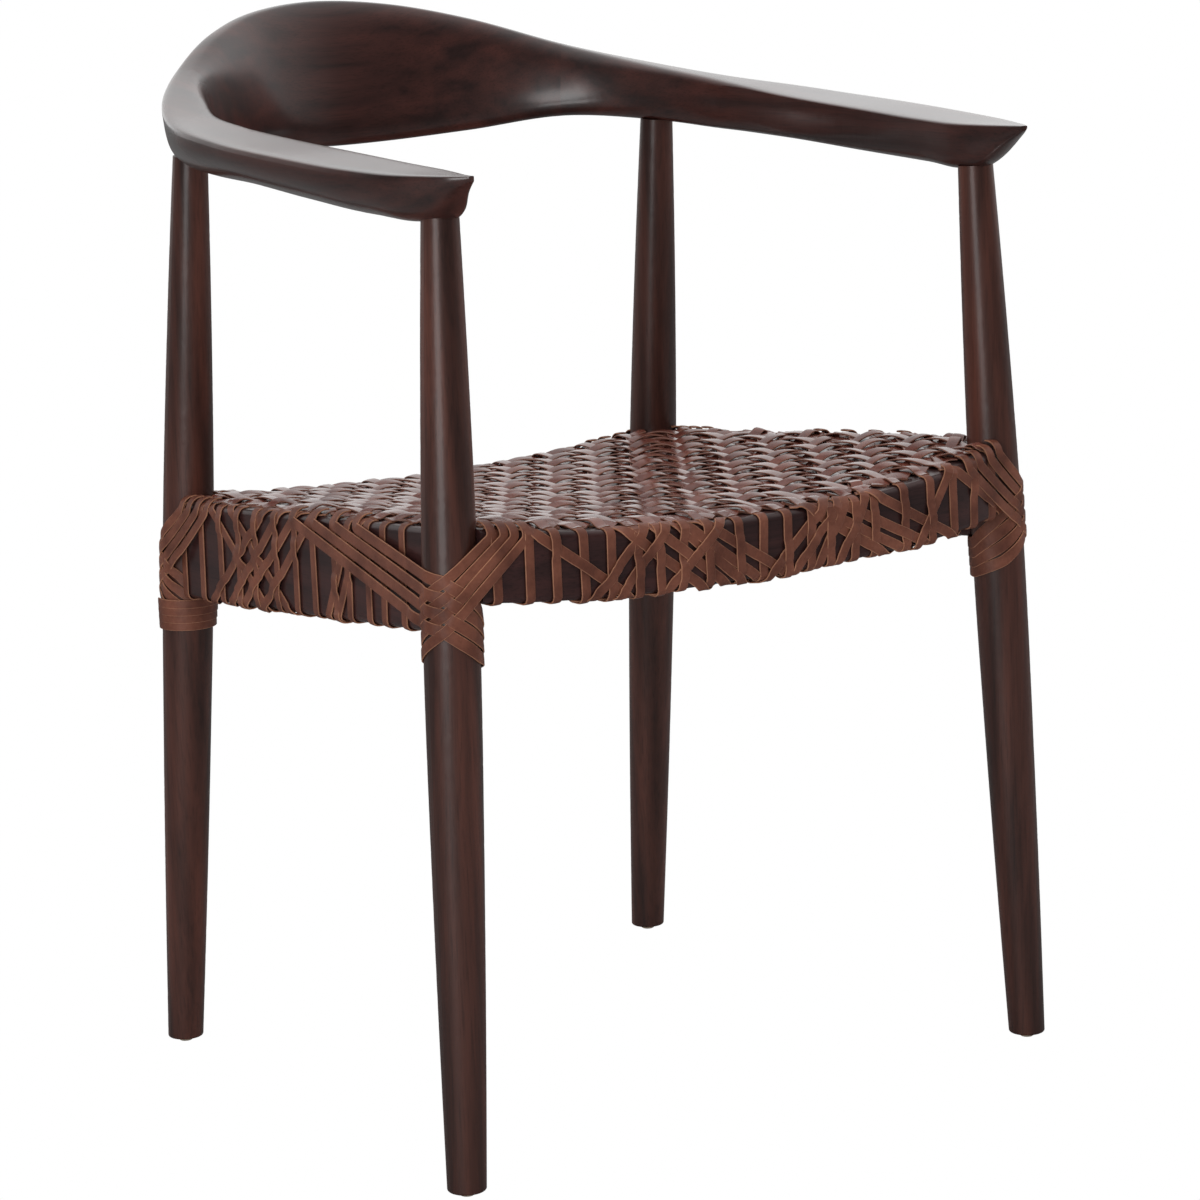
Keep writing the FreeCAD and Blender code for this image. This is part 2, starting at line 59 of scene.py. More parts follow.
# Seat frame, as in the part's source. The front rail's bow leaves room for the solid strips.
FRONT_FOOT = Vector((253.0, -246.0, 3.5))
FRONT_TOP = Vector((230.0, -229.0, 647.0))
REAR_FOOT = Vector((221.0, 178.0, 3.5))
REAR_TOP = Vector((210.0, 117.0, 671.0))
FRONT_LEVEL = 448.0
REAR_LEVEL = 419.5
FRONT_BOTTOM = 398.5
REAR_BOTTOM = 373.0
FRONT_ARCH = 10.0
REAR_ARCH = 5.0
FRONT_DIP = 19.0
REAR_DIP = 11.0
SIDE_FRONT_DEPTH = 69.0
SIDE_REAR_DEPTH = 70.5
HALF_RAIL = 12.5
RAIL_EDGE = 4.0
HALF_DEPTH = 281.0
LEATHER_GAP = 0.3
SOLID_STRIP_THICKNESS = 1.7
BOW_POWER = 4

# Leather strips. A strip's bevels take BEVEL of its width on each side, and EDGE_SHARE of its half
# thickness above and below. EDGE_SIDES counts the sides of its profile that show a cut edge.
# WRAP_BASE is the height of a strip's middle over the rail that it lies on.
STRIP_WIDTH = 7.2
STRIP_THICKNESS = 1.2
STRIP_CROWN = 0.12
EDGE_SHARE = 0.6
BEVEL = 0.36
EDGE_SIDES = (0, 1, 4, 5)
SHARP_ANGLE = math.radians(24)
WRAP_BASE = LEATHER_GAP + STRIP_THICKNESS / 2


def set_camera():
    a, e, r = CAMERA_AZIMUTH, CAMERA_ELEVATION, CAMERA_ROLL
    back = Vector((math.sin(a) * math.cos(e), -math.cos(a) * math.cos(e), math.sin(e)))
    right = Vector((math.cos(a), math.sin(a), 0))
    up = back.cross(right)
    rolled_right = right * math.cos(r) + up * math.sin(r)
    rolled_up = up * math.cos(r) - right * math.sin(r)
    data = bpy.data.cameras.new("camera")
    data.lens = CAMERA_LENS
    data.sensor_width = SENSOR_WIDTH
    data.clip_start = CLIP_START
    data.clip_end = CLIP_END
    camera = bpy.data.objects.new("camera", data)
    bpy.context.scene.collection.objects.link(camera)
    turn = Matrix((rolled_right, rolled_up, back)).transposed()
    camera.matrix_world = Matrix.Translation(Vector(CAMERA_PLACE) * MM) @ turn.to_4x4()
    bpy.context.scene.camera = camera


def on_axis(foot, top, height):
    return foot + (top - foot) * ((height - foot.z) / (top.z - foot.z))


FRONT_CORNER = on_axis(FRONT_FOOT, FRONT_TOP, (FRONT_LEVEL + FRONT_BOTTOM) / 2)
REAR_CORNER = on_axis(REAR_FOOT, REAR_TOP, (REAR_LEVEL + REAR_BOTTOM) / 2)
FRONT_BOW = HALF_DEPTH + FRONT_CORNER.y - HALF_RAIL - LEATHER_GAP - SOLID_STRIP_THICKNESS
SIDE_RUN = Vector((REAR_CORNER.x - FRONT_CORNER.x, REAR_CORNER.y - FRONT_CORNER.y, 0))
SIDE_LENGTH = SIDE_RUN.length
SIDE_WAY = SIDE_RUN.normalized()
SIDE_OUT = Vector((SIDE_WAY.y, -SIDE_WAY.x, 0))


def along_share(y):
    return (y - FRONT_CORNER.y) / (REAR_CORNER.y - FRONT_CORNER.y)


def side_line_height(y):
    return FRONT_LEVEL + (REAR_LEVEL - FRONT_LEVEL) * along_share(y)


def half_span(y):
    return FRONT_CORNER.x + (REAR_CORNER.x - FRONT_CORNER.x) * along_share(y)


def seat_height(x, y):
    """The hollow surface that the rails' tops lie in."""
    dip = FRONT_DIP + (REAR_DIP - FRONT_DIP) * along_share(y)
    return side_line_height(y) - dip * (1 - (x / half_span(y)) ** 2)


def front_line(x):
    """The front rail's middle line in plan."""
    return FRONT_CORNER.y - FRONT_BOW * (1 - min(abs(x / FRONT_CORNER.x), 1.0) ** BOW_POWER)


def smooth_step(t):
    t = min(max(t, 0.0), 1.0)
    return t * t * (3 - 2 * t)


def hump(distance, flat, fade):
    """1 near a crossing, falling smoothly to 0 beyond its flat part."""
    return 1 - smooth_step((abs(distance) - flat) / fade)


def even_places(count, pitch):
    return [pitch * (index - (count - 1) / 2) for index in range(count)]


def box_path(s, width, height, radius):
    """A point and a normal on a rounded rectangle, as (inward, up) from its top outer corner.
    s is the length from the middle of the top edge, out over the outer face and on round."""
    quarter = math.pi * radius / 2
    face, bottom = height - 2 * radius, width - 2 * radius
    runs = [bottom / 2, quarter, face, quarter, bottom, quarter, face, quarter, bottom / 2]
    s = s % sum(runs)
    inward, up, heading = width / 2, 0.0, math.pi
    for index, run in enumerate(runs):
        last = s <= run or index == len(runs) - 1
        length = s if last else run
        turn = length / radius if index % 2 else 0.0
        if index % 2:
            out = heading - math.pi / 2
            inward += radius * (math.cos(out + turn) - math.cos(out))
            up += radius * (math.sin(out + turn) - math.sin(out))
            heading += turn
        else:
            inward += length * math.cos(heading)
            up += length * math.sin(heading)
        if last:
            out = heading - math.pi / 2
            return (inward, up), (math.cos(out), math.sin(out))
        s -= run


def box_girth(width, height, radius):
    return 2 * (width + height) - (8 - 2 * math.pi) * radius


class Rail:
    """The skin of a rail: u runs along it and s round it, from the middle of its top outwards."""

    def __init__(self, kind):
        self.kind = kind

    def section(self, u):
        """The top outer corner, the inward direction and the height of the section at u."""
        if self.kind == "front":
            y = front_line(u)
            low = FRONT_BOTTOM - FRONT_ARCH * (1 - (u / FRONT_CORNER.x) ** 2)
            top = seat_height(u, y)
            return Vector((u, y - HALF_RAIL, top)), Vector((0, 1, 0)), top - low
        if self.kind == "rear":
            low = REAR_BOTTOM - REAR_ARCH * (1 - (u / REAR_CORNER.x) ** 2)
            top = seat_height(u, REAR_CORNER.y)
            return Vector((u, REAR_CORNER.y + HALF_RAIL, top)), Vector((0, -1, 0)), top - low
        side = 1 if self.kind == "left" else -1
        base = Vector((FRONT_CORNER.x, FRONT_CORNER.y, 0)) + SIDE_WAY * u
        depth = SIDE_FRONT_DEPTH + (SIDE_REAR_DEPTH - SIDE_FRONT_DEPTH) * u / SIDE_LENGTH
        corner = base + SIDE_OUT * HALF_RAIL
        top = side_line_height(base.y)
        inward = Vector((-side * SIDE_OUT.x, -SIDE_OUT.y, 0))
        return Vector((side * corner.x, corner.y, top)), inward, depth

    def girth(self, u):
        return box_girth(2 * HALF_RAIL, self.section(u)[2], RAIL_EDGE)

    def face_span(self, u):
        """The lengths round the rail at which its outer face starts and ends."""
        start = HALF_RAIL - RAIL_EDGE + math.pi * RAIL_EDGE / 2
        return start, start + self.section(u)[2] - 2 * RAIL_EDGE

    def at(self, u, s, lift):
        """A place at a height over the skin, and the skin's normal there."""
        corner, inward, height = self.section(u)
        (across, up), (out_x, out_z) = box_path(s, 2 * HALF_RAIL, height, RAIL_EDGE)
        normal = inward * out_x + Vector((0, 0, out_z))
        return corner + inward * across + Vector((0, 0, up)) + normal * lift, normal


RAILS = {kind: Rail(kind) for kind in ("front", "rear", "left", "right")}


def profile(width, thickness, crown):
    """The strip's cross-section as (across, out) points, anticlockwise from its right edge."""
    w, t = width / 2, thickness / 2
    edge = t * EDGE_SHARE
    return [
        (w, -t + edge), (w, t - edge), (w - BEVEL, t), (0, t + crown), (-w + BEVEL, t),
        (-w, t - edge), (-w, -t + edge), (-w + BEVEL, -t), (0, -t), (w - BEVEL, -t),
    ]


class Strips:
    """Collects strips into one mesh. The cut edges of the strips take the second material, and
    their faces the first or another one."""

    def __init__(self):
        self.points, self.faces, self.sides = [], [], []

    def add(self, centres, normals, width=STRIP_WIDTH, crown=STRIP_CROWN, face=0):
        places = np.array([tuple(c) for c in centres], float)
        ups = np.array([tuple(n) for n in normals], float)
        ways = np.gradient(places, axis=0)
        ways /= np.linalg.norm(ways, axis=1)[:, None]
        ups -= (ups * ways).sum(1)[:, None] * ways
        ups /= np.linalg.norm(ups, axis=1)[:, None]
        sides = np.cross(ways, ups)
        outline = np.array(profile(width, STRIP_THICKNESS, crown))
        count, ring = len(places), len(outline)
        rows = (places[:, None, :] + sides[:, None, :] * outline[None, :, 0, None]
                + ups[:, None, :] * outline[None, :, 1, None])
        start = len(self.points)
        self.points.extend(map(tuple, rows.reshape(-1, 3) * MM))
        for k in range(count - 1):
            for j in range(ring):
                a = start + k * ring + j
                b = start + k * ring + (j + 1) % ring
                self.faces.append((a, b, b + ring, a + ring))
                self.sides.append(1 if j in EDGE_SIDES else face)
        first = [start + j for j in range(ring)]
        last = [start + (count - 1) * ring + j for j in range(ring)]
        self.faces += [tuple(first[::-1]), tuple(last)]
        self.sides += [1, 1]

    def build(self, name, materials, node):
        """Makes the piece that stands for a node."""
        mesh = bpy.data.meshes.new(name)
        mesh.from_pydata(self.points, [], self.faces)
        for material in materials:
            mesh.materials.append(material)
        mesh.polygons.foreach_set("material_index", self.sides)
        mesh.polygons.foreach_set("use_smooth", [True] * len(self.faces))
        mesh.set_sharp_from_angle(angle=SHARP_ANGLE)
        mesh.update()
        piece = bpy.data.objects.new(name, mesh)
        bpy.context.scene.collection.objects.link(piece)
        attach(piece, "root")
        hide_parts(node)
        return piece


def softened(rows, reach):
    """Rows of numbers averaged over their neighbours, with the end rows kept."""
    rows = np.array(rows, float)
    weights = np.hanning(2 * reach + 3)[1:-1]
    weights /= weights.sum()
    padded = np.vstack([np.repeat(rows[:1], reach, 0), rows, np.repeat(rows[-1:], reach, 0)])
    result = np.stack([np.convolve(padded[:, i], weights, "valid") for i in range(rows.shape[1])], 1)
    result[0], result[-1] = rows[0], rows[-1]
    return result


# Places of the upright strips: x along the front and rear rails, and the distance behind the
# front leg's axis along the side rails
FRONT_UPRIGHTS = (
    -217, -196, -178, -158, -138, -117, -100, -81, -60, -33.5, -13, 8.4, 28.7, 45.5, 68, 86, 115,
    141, 165, 189, 213,
)
SIDE_UPRIGHTS = (38, 64, 85, 111, 131, 161, 187, 215, 246, 272, 300, 330, 359)
REAR_UPRIGHT_COUNT = 19
LAY_PITCH = 20.0
CROSS_PITCH = 28.0
REAR_UPRIGHTS = even_places(REAR_UPRIGHT_COUNT, LAY_PITCH)

# Slanting strips on the rails' faces: places along the rail at its top edge and its bottom edge
FRONT_SLANTS = (
    (-188, -129), (-122, -69), (-98, -50), (-79, -36), (-72, -22), (-55, 2), (33, 88), (41, 105),
    (62, 127), (93, 155), (172, 225),
    (-115, -148), (-98, -129), (-53, -91), (36, -5), (50, 17), (57, 36), (76, 55), (158, 129),
)
RIGHT_SLANTS = (
    (310, 236), (279, 203), (236, 312), (213, 284), (189, 265), (165, 234), (109, 142), (95, 128),
)
LEFT_SLANTS = (
    (302, 231), (268, 196), (240, 305), (205, 280), (184, 258), (160, 236), (118, 150), (92, 124),
)
REAR_SLANTS = (
    (-150, -98), (-112, -66), (-76, -28), (-30, 14), (22, 70), (66, 112), (104, 150),
    (-62, -104), (-18, -58), (30, -12), (80, 38), (128, 84),
)

# The seat's weave. Front-to-back strips are the lay, side-to-side strips the cross, and two sets
# of slanting strips run through their cells. A strip waves between its valleys and crests, and
# keeps its margins (from the front and rear edges, and from the side edges) at its ends.
# TILTS and SEAT_ROLL slope its face, and WANDER shifts it in plan.
SIDE_MIDDLE = FRONT_CORNER.y + SIDE_WAY.y * SIDE_LENGTH / 2
CROSS_STEP = CROSS_PITCH * SIDE_WAY.y
LAY_COUNT = 23
CROSS_COUNT = 14
SLANT_COUNT = 50
SEAT_WIDTHS = {"lay": 8.4, "cross": 8.4, "right": 10.6, "left": 10.6}
VALLEYS = {"lay": -1.2, "cross": -1.3, "right": -1.9, "left": -2.1}
CRESTS = {"lay": 2.6, "cross": 3.2, "right": -0.6, "left": -0.2}
CREST_SHARPNESS = 0.62
WEAVE_LIFT = 2.0
SWELLS = (0.8, 1.2)
SEAT_CROWN = 0.3
SEAT_STEP = 2.5
SHORTEST_RUN = 6
EDGE_MARGINS = {"lay": (4.0, 14.0), "cross": (12.0, 4.0), "right": (12.0, 11.0), "left": (12.0, 11.0)}
EDGE_START = 7.0
EDGE_FADE = 17.0
EDGE_LIFT = 1.5
LEG_CLEARANCE = 20.5
SWERVE_REACH = 55.0
TILTS = {"lay": 0.0, "cross": -0.1, "right": -0.15, "left": -0.15}
SEAT_ROLL = 0.1
ROLL_LENGTH = 17.0
WANDER = 0.8
WANDER_LENGTH = 21.0
# The lay strips' faces take a glossier leather whose colour is painted a little lighter than the
# seat's, a painted highlight for their bright tops.
GLOSSY_PAINTED_SHEEN_FACE = 2


def rise_of(kind, x, y):
    """How far a strip of the weave stands above the weave's middle at a place. u counts the
    lay and v the cross."""
    u, v = x / LAY_PITCH, (y - SIDE_MIDDLE) / CROSS_STEP + 0.5
    waves = {
        "lay": math.cos(math.pi * (v + round(u))),
        "cross": -math.cos(math.pi * (u + round(v))),
        "right": math.cos(2 * math.pi * u),
        "left": -math.cos(2 * math.pi * u),
    }
    share = max((1 + waves[kind]) / 2, 0.0) ** CREST_SHARPNESS
    return VALLEYS[kind] + (CRESTS[kind] - VALLEYS[kind]) * share


def edge_distances(x, y):
    """How far inside the outer edges of the cross rails and of the side rails a place is."""
    front = y - (front_line(x) - HALF_RAIL)
    rear = REAR_CORNER.y + HALF_RAIL - y
    side = (half_span(y) + HALF_RAIL - abs(x)) * SIDE_WAY.y
    return min(front, rear), side


def seat_point(kind, x, y, swell):
    """A place on the middle of a strip of the weave. The weave lies flat where it meets the
    rails' outer edges and swells inside them. The strips that run out over the rail lie on top."""
    end, side = edge_distances(x, y)
    share = smooth_step((min(end, side) - EDGE_START) / EDGE_FADE)
    lift = WRAP_BASE + share * (WEAVE_LIFT + swell * rise_of(kind, x, y))
    if kind == ("lay" if end < side else "cross"):
        lift += EDGE_LIFT * 4 * share * (1 - share)
    return Vector((x, y, seat_height(x, y) + lift))


def inside_seat(kind, x, y):
    """Whether a strip of the weave reaches a place, inside its margins and clear of the legs."""
    end, side = edge_distances(x, y)
    end_margin, side_margin = EDGE_MARGINS[kind]
    if end < end_margin or side < side_margin:
        return False
    for corner in (FRONT_CORNER, REAR_CORNER):
        if math.hypot(abs(x) - corner.x, y - corner.y) < LEG_CLEARANCE:
            return False
    return True


def seat_strip(strips, kind, start, way, swerve):
    """A strip of the weave along a line in plan, as far as the line stays inside the seat.
    swerve gives its shift across the line at a place, and can bring its ends to the uprights."""
    reach = int(HALF_DEPTH * 2 / SEAT_STEP)
    swell = random.uniform(*SWELLS)
    phase = random.uniform(0, 2 * math.pi)
    run, normals = [], []
    for k in range(-reach, reach + 1):
        length = SEAT_STEP * k
        x, y = start[0] + way[0] * length, start[1] + way[1] * length
        shift = swerve(x, y) + WANDER * math.sin(2 * phase + length / WANDER_LENGTH)
        x, y = x - way[1] * shift, y + way[0] * shift
        if inside_seat(kind, x, y):
            run.append(seat_point(kind, x, y, swell))
            roll = TILTS[kind] * swell + SEAT_ROLL * math.sin(phase + length / ROLL_LENGTH)
            normals.append(Vector((-way[1] * roll, way[0] * roll, 1)))
        elif len(run) > SHORTEST_RUN:
            break
        else:
            run, normals = [], []
    if len(run) > SHORTEST_RUN:
        # Lay strips take the glossier face with the painted highlight colour.
        face = GLOSSY_PAINTED_SHEEN_FACE if kind == "lay" else 0
        strips.add(run, normals, SEAT_WIDTHS[kind], SEAT_CROWN, face)


def nearest(places, value):
    return min(places, key=lambda place: abs(place - value))


def lay_swerve(x, y):
    """Brings a front-to-back strip to the nearest upright of the front rail."""
    share = 1 - smooth_step((y - (front_line(x) - HALF_RAIL)) / SWERVE_REACH)
    even = round(x / LAY_PITCH) * LAY_PITCH
    return -share * (nearest(FRONT_UPRIGHTS, even) - even)


def cross_swerve(x, y):
    """Brings a side-to-side strip to the nearest upright of a side rail."""
    share = 1 - smooth_step((half_span(y) + HALF_RAIL - abs(x)) / SWERVE_REACH)
    behind = (y - FRONT_CORNER.y) / SIDE_WAY.y
    return share * (nearest(SIDE_UPRIGHTS, behind) - behind)


def no_swerve(x, y):
    return 0.0


def weave_seat(materials):
    strips = Strips()
    for x in even_places(LAY_COUNT, LAY_PITCH):
        seat_strip(strips, "lay", (x, 0.0), (0.0, 1.0), lay_swerve)
    for place in even_places(CROSS_COUNT, CROSS_PITCH):
        start = (0.0, SIDE_MIDDLE + place * SIDE_WAY.y)
        seat_strip(strips, "cross", start, (1.0, 0.0), cross_swerve)
    length = math.hypot(LAY_PITCH, CROSS_STEP)
    for kind, sign in (("right", 1), ("left", -1)):
        way = (LAY_PITCH / length, sign * CROSS_STEP / length)
        for k in range(-SLANT_COUNT // 2, SLANT_COUNT // 2):
            start = ((k + 0.5) * LAY_PITCH, SIDE_MIDDLE - 0.5 * CROSS_STEP)
            seat_strip(strips, kind, start, way, no_swerve)
    strips.build("woven_seat", materials, "seat_weave")


# Wrapped strips. A strip is lifted over each strip that it crosses, and a slanting strip runs on
# past the rail's outer face at both ends.
CROSSING_FLAT = 3.8
CROSSING_FADE = 5.0
CROSSING_LIFT = STRIP_THICKNESS * 1.05
MOST_CROSSINGS = 1.8
WRAP_STEP = 1.6
WRAP_START = 3.0
WRAP_END = 4.0
SWAY = 6.0
SLANT_ABOVE = 10.0
SLANT_BELOW = 14.0
SLANT_RISE = 0.1
SLANT_OVER_EVERY = 3
LEAST_RUN = 0.3
LEAST_RUN_GAP = 0.2


def wrap_strip(strips, rail, u, crossings, sway):
    """An upright strip round a rail, lifted where it passes over slanting strips."""
    girth = rail.girth(u)
    start, finish = HALF_RAIL - RAIL_EDGE - WRAP_START, girth - WRAP_END
    count = int((finish - start) / WRAP_STEP)
    centres, normals = [], []
    for k in range(count + 1):
        s = start + (finish - start) * k / count
        bumps = sum(hump(s - place, CROSSING_FLAT, CROSSING_FADE) for place in crossings)
        lift = WRAP_BASE + CROSSING_LIFT * min(bumps, MOST_CROSSINGS)
        point, normal = rail.at(u + sway * (s - girth / 4) / girth, s, lift)
        centres.append(point)
        normals.append(normal)
    strips.add(centres, normals)


class Slant:
    """A strip that crosses a rail's outer face from a place on its top edge to one on its bottom."""

    def __init__(self, rail, top_u, low_u):
        self.rail, self.top_u = rail, top_u
        self.start, self.finish = rail.face_span((top_u + low_u) / 2)
        self.run = (low_u - top_u) / (self.finish - self.start)
        self.over = []

    def u_at(self, s):
        return self.top_u + self.run * (s - self.start)

    def s_at(self, u):
        return self.start + (u - self.top_u) / self.run

    def crosses(self, s):
        return self.start - SLANT_ABOVE < s < self.finish + SLANT_BELOW

    def meet(self, other):
        """The length round the rail at which two slants cross, or None."""
        gap = self.run - other.run
        if abs(gap) < LEAST_RUN_GAP:
            return None
        s = self.start + (other.top_u - self.top_u) / gap
        return s if self.crosses(s) else None

    def add(self, strips):
        first, last = self.start - SLANT_ABOVE, self.finish + SLANT_BELOW
        spread = math.hypot(1, self.run)
        count = int(spread * (last - first) / WRAP_STEP)
        centres, normals = [], []
        for k in range(count + 1):
            s = first + (last - first) * k / count
            bumps = sum(hump((s - place) * spread, flat, CROSSING_FADE) for place, flat in self.over)
            lift = WRAP_BASE + SLANT_RISE + CROSSING_LIFT * min(bumps, MOST_CROSSINGS)
            point, normal = self.rail.at(self.u_at(s), s, lift)
            centres.append(point)
            normals.append(normal)
        strips.add(centres, normals)


def wrap_rail(kind, uprights, slants, node, materials):
    """Upright strips round a rail and slanting strips across its outer face, each slanting strip
    over every third upright and over the slanting strips before it."""
    rail = RAILS[kind]
    strips = Strips()
    under = {u: [] for u in uprights}
    made = [Slant(rail, *pair) for pair in slants]
    for number, slant in enumerate(made):
        flat = 0.5 * STRIP_WIDTH * math.hypot(1, slant.run) / max(abs(slant.run), LEAST_RUN)
        for index, u in enumerate(uprights):
            s = slant.s_at(u)
            if not slant.crosses(s):
                continue
            if (index + number) % SLANT_OVER_EVERY == 0:
                slant.over.append((s, flat))
            else:
                under[u].append(s)
        for other in made[:number]:
            s = slant.meet(other)
            if s is not None:
                slant.over.append((s, CROSSING_FLAT))
        slant.add(strips)
    for u in uprights:
        wrap_strip(strips, rail, u, under[u], random.uniform(-SWAY, SWAY))
    strips.build("woven_" + node, materials, node)


# Lashings: four strips from the top of each rail cross over the leg and wind round below the
# rails. A cross strip comes from the front or rear rail and a side strip from a side rail. The
# reaches are the places along the rails at which the strips leave their tops, from the corner.
CROSS_LASH_WIDTH = 6.8
FRONT_SIDE_LASH_WIDTH = 8.1
REAR_SIDE_LASH_WIDTH = 6.4
LASH_COUNT = 4
LASH_PITCH = 10.9
LASH_DROP = 32.8
NEAR_CELL = 6.5
FAR_CELL = 10.5
FRONT_WIND_PITCH = 7.0
REAR_WIND_PITCH = 5.6
WIND_DROP = 4.0
WIND_OVERLAP = 0.3
WIND_START = 150.0
CROSS_WIND_END = 205.0
FRONT_SIDE_WIND_END = 245.0
REAR_SIDE_WIND_END = 330.0
SHOULDER_TURN = 81.0
SHOULDER_SLOPE = 0.7
SHOULDER_FADE = 15.0
TOP_POINTS = 8
TOP_RUN = 12.0
TOP_RISE = 2.6
TOP_RISE_RATE = 1.6
CROSS_REACHES = {1: (14.0, 27.0, 42.0, 55.0), -1: (18.0, 26.0, 32.5, 40.5)}
FRONT_SIDE_REACHES = (98.0, 128.0, 158.0, 188.0)
REAR_SIDE_REACHES = (20.0, 32.0, 45.0, 60.0)
LASH_STEP = 1.2
LASH_SOFTENING = 2
WEAVE_SHARPNESS = 0.5
LEG_RADIUS_SHARES = (
    (0.0, 0.707), (0.2, 0.853), (0.4, 0.959), (0.57, 1.0), (0.74, 0.92), (0.87, 0.81), (1.0, 0.667),
)
LEG_BELLY_RADIUS = 18.75


def leg_radius(foot, top, height):
    share = (height - foot.z) / (top.z - foot.z)
    return LEG_BELLY_RADIUS * float(np.interp(share, *zip(*LEG_RADIUS_SHARES)))


def weave_lift(cross, index, turn_length):
    """How much of a strip's thickness a lashing strip is lifted at a length past the leg's corner.
    The strips cross at steeper angles on the cross rail's side of the corner."""
    if cross:
        low, high = index - LASH_COUNT + 0.5, index + 0.5
    else:
        low, high = -index - 0.5, LASH_COUNT - 0.5 - index
    place = turn_length / (NEAR_CELL if turn_length > 0 else FAR_CELL)
    if not low < place < high:
        return 0.0
    wave = math.cos(math.pi * place)
    wave = 0.5 * math.copysign(abs(wave) ** WEAVE_SHARPNESS, wave)
    return 0.5 + wave if cross else 0.5 - wave


class Lash:
    """A lashing strip from the top of a rail, across its face and the leg, and round under the
    rails. It is made on the left side of the chair, and mirrored for the right."""

    def __init__(self, front, side, cross, index):
        self.front, self.side, self.cross, self.index = front, side, cross, index
        self.foot, self.top = (FRONT_FOOT, FRONT_TOP) if front else (REAR_FOOT, REAR_TOP)
        self.corner = FRONT_CORNER if front else REAR_CORNER
        if cross:
            self.way, self.out = Vector((-1, 0, 0)), Vector((0, -1 if front else 1, 0))
            self.reach = CROSS_REACHES[side][index]
            self.rail = RAILS["front" if front else "rear"]
            self.u = self.corner.x - self.reach
            self.width = CROSS_LASH_WIDTH
        else:
            self.way, self.out = (SIDE_WAY if front else -SIDE_WAY), SIDE_OUT
            self.reach = (FRONT_SIDE_REACHES if front else REAR_SIDE_REACHES)[index]
            self.rail = RAILS["left"]
            self.u = self.reach if front else SIDE_LENGTH - self.reach
            self.width = FRONT_SIDE_LASH_WIDTH if front else REAR_SIDE_LASH_WIDTH
        self.plan_route()

    def rail_point(self, s, rise=0.0):
        """A place and a normal over the rail's skin, where the strip leaves its top."""
        return self.rail.at(self.u, s, WRAP_BASE + STRIP_THICKNESS + rise)

    def plan_route(self):
        """Works out the lengths from the rail's top edge to the leg, to its outer corner, to the
        shoulder past that and to the level winding, and the strip's heights there."""
        front, corner, way, out = self.front, self.corner, self.way, self.out
        level = FRONT_LEVEL if front else REAR_LEVEL
        depth = SIDE_FRONT_DEPTH if front else SIDE_REAR_DEPTH
        middle = level - LASH_DROP - LASH_PITCH * self.index
        radius = leg_radius(self.foot, self.top, middle) + LEATHER_GAP + STRIP_THICKNESS / 2
        self.edge_s = self.rail.face_span(self.u)[0]
        self.edge, self.edge_normal = self.rail_point(self.edge_s)
        offset = Vector((self.edge.x - corner.x, self.edge.y - corner.y, 0))
        p, q = offset.dot(way), offset.dot(out)
        touch = math.atan2(p, q) - math.acos(radius / math.hypot(p, q))
        self.straight = math.sqrt(p * p + q * q - radius * radius)
        self.to_corner = self.straight + radius * (touch + math.pi / 4)
        self.shoulder = self.to_corner + radius * math.radians(SHOULDER_TURN)
        wind = self.to_corner + radius * math.radians(WIND_START)
        side_end = FRONT_SIDE_WIND_END if front else REAR_SIDE_WIND_END
        turns = CROSS_WIND_END if self.cross else side_end
        self.end = self.to_corner + radius * math.radians(turns)
        slope = SHOULDER_SLOPE * (self.shoulder - self.to_corner)
        low = level - depth - WIND_DROP - (FRONT_WIND_PITCH if front else REAR_WIND_PITCH) * self.index
        self.marks = [0.0, self.to_corner, self.shoulder, wind, self.end]
        self.heights = [self.edge.z, middle, middle - slope, low, low]
        self.radius, self.touch = radius, touch
        self.touched = corner + out * radius * math.cos(touch) + way * radius * math.sin(touch)

    def lift_at(self, length):
        if length > self.shoulder:
            wound = smooth_step((length - self.shoulder) / SHOULDER_FADE)
            overlap = WIND_OVERLAP * (LASH_COUNT - 1 - self.index)
            return ((0.0 if self.cross else STRIP_THICKNESS) + overlap) * wound
        past_corner = (self.to_corner - length) * (1 if self.cross else -1)
        return STRIP_THICKNESS * weave_lift(self.cross, self.index, past_corner)

    def point_at(self, length):
        """The strip's middle and its normal at a length from the rail's top edge."""
        height = float(np.interp(length, self.marks, self.heights))
        axis = on_axis(self.foot, self.top, height)
        turn = self.touch - max(length - self.straight, 0.0) / self.radius
        normal = self.out * math.cos(turn) + self.way * math.sin(turn)
        lift = self.lift_at(length)
        if length < self.straight:
            blend = length / self.straight
            flat = self.edge + (self.touched - self.edge) * blend
            point = Vector((flat.x, flat.y, height)) + (axis - self.corner) * blend
            normal = self.edge_normal * (1 - blend) + normal * blend
            point += normal * lift
        else:
            point = axis + normal * (self.radius + lift)
        point.z = height
        return point, normal

    def add(self, strips):
        rows = []
        for k in range(TOP_POINTS):
            share = 1 - k / TOP_POINTS
            rise = TOP_RISE * smooth_step(TOP_RISE_RATE * share)
            point, normal = self.rail_point(self.edge_s - TOP_RUN * share, rise)
            rows.append((*point, *normal))
        count = int(self.end / LASH_STEP)
        for k in range(count + 1):
            point, normal = self.point_at(self.end * k / count)
            rows.append((*point, *normal))
        rows = softened(rows, LASH_SOFTENING)
        rows[:, 0] *= self.side
        rows[:, 3] *= self.side
        strips.add(rows[:, :3], rows[:, 3:], self.width)


def lash_corners(materials):
    for side, side_name in ((1, "left"), (-1, "right")):
        for front, end_name in ((True, "front"), (False, "rear")):
            strips = Strips()
            for cross in (True, False):
                for index in range(LASH_COUNT):
                    Lash(front, side, cross, index).add(strips)
            node = f"{side_name}_{end_name}_corner_lashing"
            strips.build("woven_" + node, materials, node)


